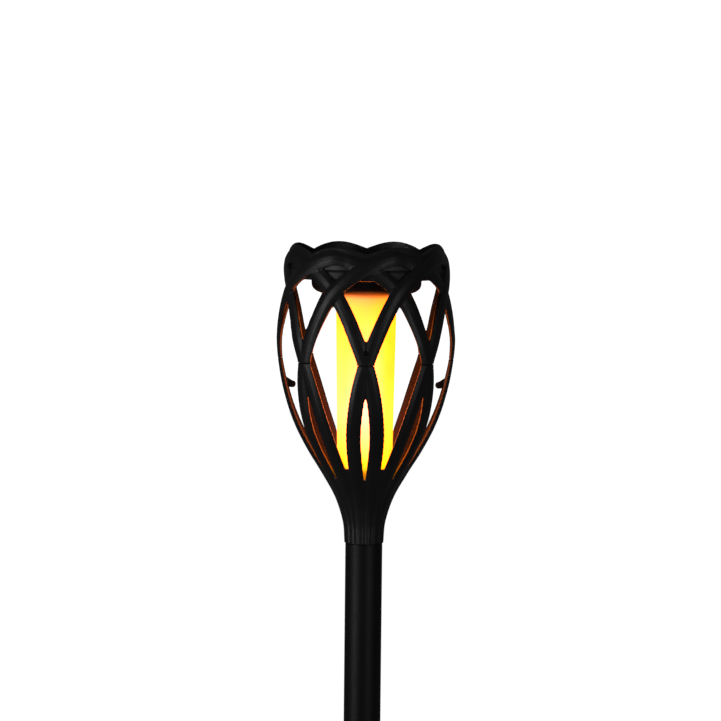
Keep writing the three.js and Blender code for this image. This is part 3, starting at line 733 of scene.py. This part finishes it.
def settle(piece, body, nodes, material):
    piece.data.materials.clear()
    piece.data.materials.append(material)
    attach(piece, body)
    for node in nodes:
        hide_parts(node)


# ---------- pieces, in millimetres ----------
# Heights run from the ground for the stake and pole, and from HEAD_BASE for the head.

POLE_RADIUS = 12.8
POLE_BORE = 11.6
POLE_MIDDLE = 200
PLUG_RADIUS = 11.25
PLUG_LENGTH = 32
NECK_PLUG = {"wall": 1.6, "top": 8, "ceiling": 5}
COUPLER = {"wall": 2, "ring_radius": 13.4, "ring_height": 3}
COLLAR = {"radius": 22, "rim": 3.5, "top_radius": 19, "top": 5}
SPIKE = {"half_width": 14, "top": 0.5, "shoulder": -82.5, "tip": -165, "thickness": 2.8, "bevel": 0.5}

# The bowl's outside and inside curves are (inset from its wall, rise from its bottom or floor)
BOWL = {"radius": 38, "bottom": 171.2, "floor": 174.2, "mouth": 21.6}
BOWL_OUTSIDE = [(7, 0), (3.5, 1.3), (1.3, 3.1), (0.3, 5.4)]
BOWL_INSIDE = [(2.6, 3), (5.2, 0.4), (8.2, 0)]
FLANGE = {"radius": 49.4, "bottom": 183.8, "bore": 47, "wall": 2.2, "chamfer": 0.8}
SEAM = 191
SEAM_GAP = 0.15
SCREW_CIRCLE = 41
SCREW_HOLE = 1.6
DRILL_BELOW = 1
BUTTON_DRILL_ABOVE = 2
SCREW_DRILL_ABOVE = 1.3

# The lid's edges are (inset from the rim, or outset from the well; drop from the top)
LID = {"top": 195.6, "ceiling": 190.5, "spigot": 46.7, "spigot_bore": 43.5, "spigot_bottom": 189.5}
LID_LOW_EDGE = 0.2
LID_TOP_EDGE = [(0, 0.8), (0.3, 0.2), (0.8, 0)]
WELL = {"half_width": 28.3, "floor": 192.7}
WELL_EDGE = [(0.5, 0), (0.15, 0.1), (0, 0.4)]

BUTTON = {
    "radius": 3.2, "hole": 3.55, "offset": 27.4, "out": 1.8,
    "flange_radius": 3.9, "flange_bottom": 0.6, "flange_top": 1.6, "top": 2,
}
END_CAP = {
    "radius": 18.7, "bottom": 39.7, "chamfer": 1, "rim_top": 41.7,
    "plug_radius": 17.2, "plug_top": 46.7, "post_radius": 10.7, "post_top": 60,
}
TUBE = {
    "bottom": 42, "foot_bore": 17.5, "foot_radius": 18.7, "top_radius": 21, "top_bore": 19.8,
    "flange_radius": 23, "flange_bottom": 174.5, "top": 176,
}

SPACING = 0.75
lower_basket = build_basket("basket_lower_moulding", True, SPACING)
settle(lower_basket, "basket", ["basket_lower"], BASKET_BLACK)
upper_basket = build_basket("basket_upper_moulding", False, SPACING)
settle(upper_basket, "basket", ["basket_upper"], BASKET_BLACK)


def pole(name, node, body):
    low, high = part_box(node)
    bottom, top = low[2] / MM, high[2] / MM
    outline = [(POLE_BORE, bottom), (POLE_RADIUS, bottom), (POLE_RADIUS, top), (POLE_BORE, top)]
    settle(turned(name, outline, reach=0.3), body, [node], POLE_BLACK)


pole("lower_pole_tube", "lower_pole", "pole_lower")
pole("upper_pole_tube", "upper_pole", "pole_upper")

plug_bore = PLUG_RADIUS - NECK_PLUG["wall"]
neck_plug = turned("neck_plug", [
    (plug_bore, -PLUG_LENGTH), (PLUG_RADIUS, -PLUG_LENGTH), (PLUG_RADIUS, NECK_PLUG["top"]),
    (0, NECK_PLUG["top"]), (0, NECK_PLUG["ceiling"]), (plug_bore, NECK_PLUG["ceiling"]),
], base=HEAD_BASE, reach=0.6)
settle(neck_plug, "basket", ["basket_lower"], BASKET_BLACK)

ring_low = POLE_MIDDLE + FIT_GAP
ring_high = ring_low + COUPLER["ring_height"]
coupler_bore = PLUG_RADIUS - COUPLER["wall"]
coupler = turned("pole_coupler_ring", [
    (coupler_bore, ring_low - PLUG_LENGTH), (PLUG_RADIUS, ring_low - PLUG_LENGTH), (PLUG_RADIUS, ring_low),
    (COUPLER["ring_radius"], ring_low), (COUPLER["ring_radius"], ring_high), (PLUG_RADIUS, ring_high),
    (PLUG_RADIUS, ring_high + PLUG_LENGTH), (coupler_bore, ring_high + PLUG_LENGTH),
], reach=0.5)
settle(coupler, "pole_lower", ["pole_coupler"], BASKET_BLACK)

collar_plug_top = COLLAR["top"] + PLUG_LENGTH
collar = turned("stake_collar", [
    (0, 0), (COLLAR["radius"], 0), (COLLAR["radius"], COLLAR["rim"]), (COLLAR["top_radius"], COLLAR["top"]),
    (PLUG_RADIUS, COLLAR["top"]), (PLUG_RADIUS, collar_plug_top), (0, collar_plug_top),
], reach=0.8)
settle(collar, "stake", ["ground_stake"], BASKET_BLACK)
spike = bmesh.new()
blade = [
    (-SPIKE["half_width"], SPIKE["top"]), (-SPIKE["half_width"], SPIKE["shoulder"]), (0, SPIKE["tip"]),
    (SPIKE["half_width"], SPIKE["shoulder"]), (SPIKE["half_width"], SPIKE["top"]),
]
for turn in (0, TURN / 4):
    bevelled_prism(spike, blade, SPIKE["thickness"], turn, SPIKE["bevel"])
settle(finished(spike, "stake_spike"), "stake", ["ground_stake"], BASKET_BLACK)

flange_top = FLANGE["bottom"] + FLANGE["wall"]
bowl_outline = [(BOWL["mouth"], BOWL["bottom"])]
bowl_outline += [(BOWL["radius"] - inset, BOWL["bottom"] + rise) for inset, rise in BOWL_OUTSIDE]
bowl_outline += [
    (BOWL["radius"], FLANGE["bottom"]), (FLANGE["radius"] - FLANGE["chamfer"], FLANGE["bottom"]),
    (FLANGE["radius"], FLANGE["bottom"] + FLANGE["chamfer"]), (FLANGE["radius"], SEAM - SEAM_GAP),
    (FLANGE["bore"], SEAM - SEAM_GAP), (FLANGE["bore"], flange_top),
    (BOWL["radius"] - FLANGE["wall"], flange_top),
]
bowl_outline += [(BOWL["radius"] - inset, BOWL["floor"] + rise) for inset, rise in BOWL_INSIDE]
bowl_outline.append((BOWL["mouth"], BOWL["floor"]))
bowl = turned("housing_bowl_shell", bowl_outline, base=HEAD_BASE, reach=0.9)
low, high = BOWL["bottom"] - DRILL_BELOW, BOWL["floor"] + BUTTON_DRILL_ABOVE
drilled(bowl, BUTTON["hole"], low, high, [(0, BUTTON["offset"])], HEAD_BASE)
screw = SCREW_CIRCLE / math.sqrt(2)
screw_places = [(screw, screw), (-screw, screw), (-screw, -screw), (screw, -screw)]
low, high = FLANGE["bottom"] - DRILL_BELOW, flange_top + SCREW_DRILL_ABOVE
drilled(bowl, SCREW_HOLE, low, high, screw_places, HEAD_BASE)
settle(bowl, "lamp", ["housing_bowl"], HOUSING_BLACK)

lid_low = SEAM + SEAM_GAP
lid_levels = [
    (LID["spigot_bore"], 0, LID["ceiling"]), (LID["spigot_bore"], 0, LID["spigot_bottom"]),
    (LID["spigot"], 0, LID["spigot_bottom"]), (LID["spigot"], 0, lid_low),
    (FLANGE["radius"] - LID_LOW_EDGE, 0, lid_low), (FLANGE["radius"], 0, lid_low + LID_LOW_EDGE),
]
lid_levels += [(FLANGE["radius"] - inset, 0, LID["top"] - drop) for inset, drop in LID_TOP_EDGE]
lid_levels += [(WELL["half_width"] + outset, 1, LID["top"] - drop) for outset, drop in WELL_EDGE]
lid_levels.append((WELL["half_width"], 1, WELL["floor"]))
lid = lofted("housing_lid_plate", lid_levels, HEAD_BASE)
settle(lid, "lamp", ["housing_lid"], HOUSING_BLACK)

button_low = BOWL["bottom"] - BUTTON["out"]
button_steps = [
    (BUTTON["radius"], BUTTON["flange_bottom"]), (BUTTON["flange_radius"], BUTTON["flange_bottom"]),
    (BUTTON["flange_radius"], BUTTON["flange_top"]), (BUTTON["radius"], BUTTON["flange_top"]),
    (BUTTON["radius"], BUTTON["top"]), (0, BUTTON["top"]),
]
button_outline = [(0, button_low), (BUTTON["radius"], button_low)]
button_outline += [(radius, BOWL["floor"] + rise) for radius, rise in button_steps]
button = turned(
    "power_button_cap", button_outline,
    base=HEAD_BASE, centre=(0, BUTTON["offset"]), segments=48, reach=0.4,
)
settle(button, "button", ["power_button"], RUBBER)

cap = turned("tube_end_cap_disc", [
    (0, END_CAP["bottom"]), (END_CAP["radius"] - END_CAP["chamfer"], END_CAP["bottom"]),
    (END_CAP["radius"], END_CAP["bottom"] + END_CAP["chamfer"]), (END_CAP["radius"], END_CAP["rim_top"]),
    (END_CAP["plug_radius"], END_CAP["rim_top"]), (END_CAP["plug_radius"], END_CAP["plug_top"]),
    (END_CAP["post_radius"], END_CAP["plug_top"]), (END_CAP["post_radius"], END_CAP["post_top"]),
    (0, END_CAP["post_top"]),
], base=HEAD_BASE, reach=0.5)
settle(cap, "lamp", ["tube_end_cap"], HOUSING_BLACK)

tube = turned("flame_tube_shell", [
    (TUBE["foot_bore"], TUBE["bottom"]), (TUBE["foot_radius"], TUBE["bottom"]),
    (TUBE["top_radius"], TUBE["flange_bottom"]), (TUBE["flange_radius"], TUBE["flange_bottom"]),
    (TUBE["flange_radius"], TUBE["top"]), (TUBE["top_bore"], TUBE["top"]),
], base=HEAD_BASE, reach=0.3)
settle(tube, "lamp", ["flame_tube"], FLAME)

for node, material in {
    "tube_retainer": HOUSING_BLACK, "switch_body": HOUSING_BLACK, "seal_ring": RUBBER, "solar_board": BOARD,
    "circuit_board": BOARD, "solar_cells": CELL, "panel_cover": COVER, "battery": WRAP,
    "battery_spring": STEEL, "battery_contact": STEEL, "led_core": WHITE, "led_strip": WHITE,
    "battery_lead": LEAD, "return_lead": LEAD, "led_lead": LEAD, "panel_lead": LEAD,
}.items():
    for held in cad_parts[node].material_slots:
        held.material = material
for node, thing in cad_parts.items():
    if "screw" in node:
        for held in thing.material_slots:
            held.material = STEEL

# ---------- stage, light and camera ----------

LENS_MM = 129.82
SENSOR_MM = 36
DISTANCE = 1.79
PITCH = math.radians(5.1)
ROLL = math.radians(0.585)
AIM = Vector((-3.6 * MM, 0, HEAD_BASE + 124.5 * MM))
FILL_LIGHT = 0.05
BACKDROP_LIGHT = 1.1
FLOOR_REACH = 6.0
FLOOR_DROP = 0.001

camera_data = bpy.data.cameras.new("camera")
camera_data.lens = LENS_MM
camera_data.sensor_width = SENSOR_MM
camera = bpy.data.objects.new("camera", camera_data)
camera.location = AIM + DISTANCE * Vector((0, -math.cos(PITCH), math.sin(PITCH)))
look = (AIM - camera.location).to_track_quat("-Z", "Y")
camera.rotation_euler = (look.to_matrix() @ Matrix.Rotation(ROLL, 3, "Z")).to_euler()
bpy.context.scene.collection.objects.link(camera)
bpy.context.scene.camera = camera


def softbox(name, azimuth, rise, distance, width, height, power):
    """An area light aimed at the foot of the head. Azimuth 0 is in front; both angles are in degrees."""
    data = bpy.data.lights.new(name, "AREA")
    data.shape = "RECTANGLE"
    data.size = width
    data.size_y = height
    data.energy = power
    lamp = bpy.data.objects.new(name, data)
    turn, tilt = math.radians(azimuth), math.radians(rise)
    direction = Vector((
        math.sin(turn) * math.cos(tilt), -math.cos(turn) * math.cos(tilt), math.sin(tilt),
    ))
    lamp.location = Vector((0, 0, HEAD_BASE)) + direction * distance
    lamp.rotation_euler = (-direction).to_track_quat("-Z", "Y").to_euler()
    bpy.context.scene.collection.objects.link(lamp)


softbox("left_softbox", azimuth=-53, rise=2, distance=1.4, width=0.35, height=1.1, power=4.0)
softbox("right_softbox", azimuth=35, rise=2, distance=1.5, width=0.3, height=1.1, power=1.8)
softbox("top_softbox", azimuth=180, rise=75, distance=1.3, width=0.9, height=0.9, power=0.35)

world = bpy.data.worlds.new("studio")
world.use_nodes = True
nodes, links = world.node_tree.nodes, world.node_tree.links
backdrop = nodes.new("ShaderNodeBackground")
backdrop.inputs["Color"].default_value = (1, 1, 1, 1)
fill = nodes["Background"]
fill.inputs["Color"].default_value = (1, 1, 1, 1)
fill.inputs["Strength"].default_value = FILL_LIGHT
backdrop.inputs["Strength"].default_value = BACKDROP_LIGHT
ray = nodes.new("ShaderNodeLightPath")
choose = nodes.new("ShaderNodeMixShader")
links.new(ray.outputs["Is Camera Ray"], choose.inputs["Fac"])
links.new(fill.outputs["Background"], choose.inputs[1])
links.new(backdrop.outputs["Background"], choose.inputs[2])
links.new(choose.outputs["Shader"], nodes["World Output"].inputs["Surface"])
bpy.context.scene.world = world
bpy.context.scene.view_settings.view_transform = "Standard"

floor_mesh = bpy.data.meshes.new("floor")
level = cad_box[0][2] - FLOOR_DROP
corners = [(-1, -1), (1, -1), (1, 1), (-1, 1)]
floor_mesh.from_pydata([(x * FLOOR_REACH, y * FLOOR_REACH, level) for x, y in corners], [], [(0, 1, 2, 3)])
floor = bpy.data.objects.new("floor", floor_mesh)
bpy.context.scene.collection.objects.link(floor)
pale, _, _, pale_shader, _ = node_material("pale_floor")
pale_shader.inputs["Base Color"].default_value = (0.9, 0.9, 0.9, 1)
pale_shader.inputs["Roughness"].default_value = 0.9
pale_shader.inputs["Emission Color"].default_value = (1, 1, 1, 1)
pale_shader.inputs["Emission Strength"].default_value = 0.95
floor_mesh.materials.append(pale)
floor.visible_glossy = False
floor.visible_diffuse = False
